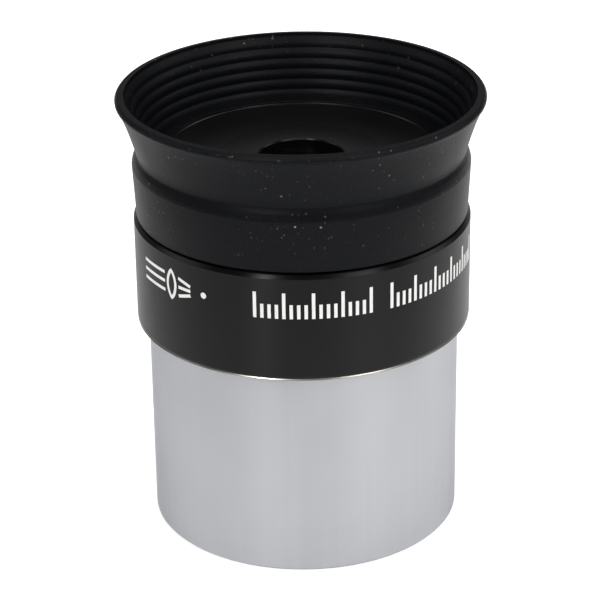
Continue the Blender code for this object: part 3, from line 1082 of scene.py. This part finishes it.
class EYEPIECE_OT_cell(bpy.types.Operator):
    """Lens cell with its lock ring, spacer and retaining ring"""

    bl_idname = "eyepiece.cell"
    bl_label = "Lens cell and rings"

    def execute(self, context):
        bottom, top = base_of("lens_cell"), top_of("lens_cell")
        flange = radius_of("lens_cell")
        lock_low, lock_top = base_of("cell_lock_ring"), top_of("cell_lock_ring")
        bore = radius_of("eye_crown") + 0.05 * MM
        flange_low = lock_top + 0.05 * MM
        flange_top = flange_low + 2.1 * MM
        lip_low = top - 0.4 * MM
        corners = [
            Corner(CELL_BODY, top, 0.15 * MM),
            Corner(CELL_BODY, flange_top, EASED_EDGE),
            Corner(flange, flange_top, EASED_EDGE),
            Corner(flange, flange_low, EASED_EDGE),
            Corner(CELL_BODY, flange_low, EASED_EDGE),
            Corner(CELL_BODY, bottom, 0.3 * MM),
            Corner(bore + 0.5 * MM, bottom, EASED_EDGE),
            *wall(
                (bore, bottom + 0.4 * MM),
                (bore, bottom + 2.0 * MM),
                0.06 * MM,
                "cell_thread",
                fade=0.2 * MM,
            ),
            Corner(bore, lip_low, FINE_EDGE),
            Corner(LENS_OPENING, lip_low, 0.03 * MM),
            Corner(LENS_OPENING + 0.1 * MM, top, FINE_EDGE),
        ]
        thread = {"zone": "cell_thread", "pitch": 0.5 * MM, "depth": 0.25 * MM, "lead": 1.0}
        tube = turned("cell_tube", corners, "black", cuts=[thread])
        assign(tube, "head", "lens_cell")

        ring_edge = 0.12 * MM
        hug = CELL_BODY + 0.05 * MM
        corners = [
            Corner(flange, lock_top, ring_edge),
            Corner(flange, lock_low, ring_edge),
            Corner(hug, lock_low, ring_edge),
            Corner(hug, lock_top, ring_edge),
        ]
        ring = notched(turned("lock_ring", corners, "black"), flange, lock_low)
        assign(ring, "head", "cell_lock_ring")

        low, high = base_of("lens_retaining_ring"), top_of("lens_retaining_ring")
        outer = radius_of("lens_retaining_ring")
        corners = [
            Corner(outer, high, 0.08 * MM),
            Corner(outer, low, ring_edge),
            Corner(LENS_OPENING + 0.25 * MM, low, ring_edge),
            Corner(LENS_OPENING, low + 0.5 * MM, ring_edge),
            Corner(LENS_OPENING, high, FINE_EDGE),
        ]
        ring = turned("retaining_ring", corners, "black")
        notched(ring, outer, low, width=0.9 * NOTCH_WIDTH)
        assign(ring, "head", "lens_retaining_ring")

        low, high = base_of("spacer_ring"), top_of("spacer_ring")
        outer = radius_of("spacer_ring")
        corners = [
            Corner(outer, high, FINE_EDGE),
            Corner(outer, low, FINE_EDGE),
            Corner(LENS_OPENING, low, FINE_EDGE),
            *wall(
                (LENS_OPENING, low + 0.2 * MM),
                (LENS_OPENING, high - 0.2 * MM),
                0.07 * MM,
                "baffles",
                fade=0.15 * MM,
            ),
            Corner(LENS_OPENING, high, FINE_EDGE),
        ]
        baffles = {"zone": "baffles", "pitch": 0.35 * MM, "depth": 0.1 * MM}
        ring = turned("doublet_spacer", corners, "black", cuts=[baffles])
        assign(ring, "lens_stack", "spacer_ring")
        return {"FINISHED"}


def sag(curve, radius):
    """How far a spherical surface of that curvature radius falls away from its vertex."""
    return curve - math.sqrt(curve * curve - radius * radius)


def lens(name, node, material, top, top_curve, bottom, bottom_curve):
    """A lens between two vertices. A positive curve bulges outwards, a negative one is hollow. Its edge is
    ground and blacked."""
    reach = radius_of(node)
    edge, rings = 0.12 * MM, 20
    radii = [(reach - edge) * i / rings for i in range(rings + 1)]

    def surface(vertex, curve, side):
        bend = side * math.copysign(1.0, curve)
        return [Corner(r, vertex - bend * sag(abs(curve), r)) for r in radii]

    upper = surface(top, top_curve, 1)
    lower = surface(bottom, bottom_curve, -1)
    high, low = upper[-1].height, lower[-1].height
    rim = [Corner(reach, high - edge, finish=SECOND), Corner(reach, low + edge, finish=SECOND)]
    upper[-1] = upper[-1]._replace(finish=SECOND)
    piece = turned(name, upper + rim + lower[::-1], material, closed=False)
    assign(piece, "lens_stack", node)


class EYEPIECE_OT_lenses(bpy.types.Operator):
    """The four lens elements, two cemented pairs that face each other"""

    bl_idname = "eyepiece.lenses"
    bl_label = "Lens elements"

    def execute(self, context):
        inner, outer = CEMENTED_CURVE, OUTER_CURVE
        cement = 0.01 * MM
        eye_top, eye_low = top_of("eye_flint"), base_of("eye_crown")
        field_top, field_low = top_of("field_crown"), base_of("field_flint")
        eye_joint = eye_top - FLINT_DEPTH
        field_joint = field_low + FLINT_DEPTH
        # Name, node, glass, then the height and the curve of the upper face and of the lower face.
        elements = (
            ("eye_lens_flint", "eye_flint", "flint", eye_top, outer, eye_joint + cement, -inner),
            ("eye_lens_crown", "eye_crown", "crown", eye_joint - cement, inner, eye_low, inner),
            ("field_lens_crown", "field_crown", "crown", field_top, inner, field_joint + cement, inner),
            ("field_lens_flint", "field_flint", "flint", field_joint - cement, -inner, field_low, outer),
        )
        for element in elements:
            lens(*element)
        return {"FINISHED"}


class EYEPIECE_OT_eyecup(bpy.types.Operator):
    """One-piece rubber eyecup: band, folding groove, flare with ribs inside, and lip"""

    bl_idname = "eyepiece.eyecup"
    bl_label = "Eyecup"

    def execute(self, context):
        s = context.scene.eyepiece_sizes
        lip_radius, rim = radius_of("eyecup_lip"), top_of("eyecup_lip")
        bead = rim - 0.72 * MM
        shoulder_radius = radius_of("eyecup_band")
        shoulder = top_of("eyecup_band") - 1.07 * MM
        groove = top_of("eyecup_band") + 0.2 * MM
        foot = s.head_top + 0.25 * MM
        grip = s.neck_radius + 0.05 * MM
        neck_top = top_of("housing") - NECK_DROP
        wall_foot = neck_top + 0.1 * MM
        wall_start, wall_top = wall_foot + 0.2 * MM, rim - 0.3 * MM
        narrow, wide = s.neck_radius, s.lip_inner - 0.03 * MM
        first_rib = neck_top + 1.35 * MM
        last_rib = first_rib + 4.4 * s.rib_pitch
        flare_rows, rib_rows = 44, 88

        def flare(share):
            widening = s.flare_cone * share + s.flare_trumpet * share**4
            return Corner(s.groove_radius + widening, groove + (bead - groove) * share)

        def ribbed(share):
            """The inner wall, smooth below the ribs, deep among them and shallow towards the lip."""
            widening = 0.72 * share + 0.28 * share**4
            height = wall_start + (wall_top - wall_start) * share
            if height > last_rib:
                weight = 0.35
            else:
                weight = float(height > first_rib - 0.5 * s.rib_pitch)
            return Corner(narrow + (wide - narrow) * widening, height, zone="ribs", weight=weight)

        corners = [
            # The lip and the outside, down to the foot of the band.
            Corner(s.lip_inner, rim, FINE_EDGE),
            Corner(lip_radius - 0.25 * MM, rim - 0.08 * MM, 0.3 * MM),
            Corner(lip_radius, rim - 0.4 * MM, 0.2 * MM),
            Corner(lip_radius - 0.03 * MM, bead + 0.1 * MM, 0.06 * MM),
            *[flare(k / flare_rows) for k in range(flare_rows, -1, -1)],
            Corner(s.groove_radius + 0.07 * MM, groove - 0.15 * MM, FINE_EDGE),
            Corner(shoulder_radius - 0.22 * MM, shoulder + 0.7 * MM, 0.3 * MM),
            Corner(shoulder_radius - 0.06 * MM, shoulder + 0.26 * MM, 0.2 * MM),
            Corner(shoulder_radius, shoulder, 0.06 * MM),
            Corner(s.band_foot, foot, 0.12 * MM),
            # The bore that grips the neck, the small hook over it and the inner wall.
            Corner(grip, foot, FINE_EDGE),
            Corner(grip, neck_top + 0.03 * MM, 0.02 * MM),
            Corner(grip - 0.2 * MM, neck_top + 0.05 * MM, 0.02 * MM),
            Corner(grip - 0.1 * MM, wall_foot, 0.03 * MM),
            *[ribbed(k / rib_rows) for k in range(rib_rows + 1)],
        ]
        ribs = {
            "zone": "ribs",
            "start": first_rib + s.rib_pitch / 2,
            "pitch": s.rib_pitch,
            "depth": s.rib_depth,
            "roundness": 1.0,
        }
        piece = turned("rubber_eyecup", corners, "rubber", sharp=SHARP_RUBBER, cuts=[ribs])
        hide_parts("eyecup_band", "eyecup_flare", "eyecup_lip")
        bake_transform(piece, "head", "cup_lip", start=(0, 0, 41.2 * MM), end=(0, 0, 44.4 * MM))
        return {"FINISHED"}


# -------------------------------------------------------------------------------------------------- stage


def softbox(name, azimuth, elevation, distance, size, power):
    """A soft rectangular light that faces the eyepiece from a direction, in degrees from the front."""
    lamp = bpy.data.lights.new(name, "AREA")
    lamp.shape = "RECTANGLE"
    lamp.size, lamp.size_y = size
    lamp.energy = power
    side, rise = math.radians(azimuth), math.radians(elevation)
    level = math.cos(rise)
    way = Vector((math.sin(side) * level, -math.cos(side) * level, math.sin(rise)))
    light = bpy.data.objects.new(name, lamp)
    light.location = way * distance + AIM
    light.rotation_euler = (-way).to_track_quat("-Z", "Y").to_euler()
    bpy.context.scene.collection.objects.link(light)


class EYEPIECE_OT_stage(bpy.types.Operator):
    """White table, soft lights and the camera"""

    bl_idname = "eyepiece.stage"
    bl_label = "Stage"

    def execute(self, context):
        scene = context.scene
        scene.view_settings.view_transform = "Standard"
        scene.view_settings.gamma = 0.92
        colours = scene.eyepiece_colours
        half_table = 3.0
        shape = bmesh.new()
        bmesh.ops.create_grid(shape, x_segments=1, y_segments=1, size=half_table)
        mesh = bpy.data.meshes.new("table")
        shape.to_mesh(mesh)
        shape.free()
        mesh.materials.append(light_table(colours))
        table = bpy.data.objects.new("table", mesh)
        scene.collection.objects.link(table)

        world = bpy.data.worlds.new("studio")
        world.use_nodes = True
        world.node_tree.nodes.clear()
        fill = {"Color": (1, 1, 1, 1), "Strength": 0.07}
        sky = add(world.node_tree, "ShaderNodeBackground", fill)
        add(world.node_tree, "ShaderNodeOutputWorld", {"Surface": sky})
        scene.world = world

        # Azimuth from the front in degrees, elevation, distance, width, height and power of each light.
        lights = {
            "front_left": (-30, 43, 0.9, 0.11, 0.4, 3.2),
            "front_right": (46, 43, 0.9, 0.34, 0.38, 2.8),
            "side_left": (-100, 36, 0.9, 0.5, 0.4, 1.1),
            "side_right": (105, 36, 0.9, 0.5, 0.4, 1.5),
            "back": (180, 26, 0.9, 0.9, 0.45, 0.5),
            "overhead": (180, 84, 0.9, 0.5, 0.5, 3.3),
        }
        for name, (azimuth, elevation, distance, width, height, power) in lights.items():
            softbox(name, azimuth, elevation, distance, (width, height), power)

        camera_data = bpy.data.cameras.new("camera")
        camera_data.lens = 146.1
        camera_data.clip_start = 0.01
        camera = bpy.data.objects.new("camera", camera_data)
        elevation, roll, distance = math.radians(24.92), math.radians(-0.79), 0.251
        target = Vector((-0.34 * MM, 0.0, 22.82 * MM))
        ahead = Vector((0.0, math.cos(elevation), -math.sin(elevation)))
        right = Vector((1.0, 0.0, 0.0))
        up = right.cross(ahead)
        rolled_right = right * math.cos(roll) + up * math.sin(roll)
        rolled_up = up * math.cos(roll) - right * math.sin(roll)
        turn = Matrix((rolled_right, rolled_up, -ahead)).transposed().to_4x4()
        camera.matrix_world = Matrix.Translation(target - ahead * distance) @ turn
        scene.collection.objects.link(camera)
        scene.camera = camera
        return {"FINISHED"}


STEPS = (
    EYEPIECE_OT_stage,
    EYEPIECE_OT_barrel,
    EYEPIECE_OT_field_stop,
    EYEPIECE_OT_head,
    EYEPIECE_OT_marks,
    EYEPIECE_OT_cell,
    EYEPIECE_OT_lenses,
    EYEPIECE_OT_eyecup,
)


class EYEPIECE_PT_panel(bpy.types.Panel):
    """Lists the settings and the steps that build the eyepiece"""

    bl_idname = "EYEPIECE_PT_panel"
    bl_label = "Telescope eyepiece"
    bl_space_type = "VIEW_3D"
    bl_region_type = "UI"
    bl_category = "Eyepiece"

    def draw(self, context):
        layout = self.layout
        for group in (context.scene.eyepiece_sizes, context.scene.eyepiece_colours):
            column = layout.column(align=True)
            for name in group.__annotations__:
                column.prop(group, name)
        for step in STEPS:
            layout.operator(step.bl_idname)


CLASSES = (EyepieceSizes, EyepieceColours, *STEPS, EYEPIECE_PT_panel)


def register():
    for cls in CLASSES:
        bpy.utils.register_class(cls)
    bpy.types.Scene.eyepiece_sizes = bpy.props.PointerProperty(type=EyepieceSizes)
    bpy.types.Scene.eyepiece_colours = bpy.props.PointerProperty(type=EyepieceColours)


def unregister():
    del bpy.types.Scene.eyepiece_sizes
    del bpy.types.Scene.eyepiece_colours
    for cls in reversed(CLASSES):
        bpy.utils.unregister_class(cls)


def main():
    register()
    make_finishes(bpy.context.scene.eyepiece_colours)
    for step in STEPS:
        group, name = step.bl_idname.split(".")
        getattr(getattr(bpy.ops, group), name)()
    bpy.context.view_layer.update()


if __name__ == "__main__":
    main()
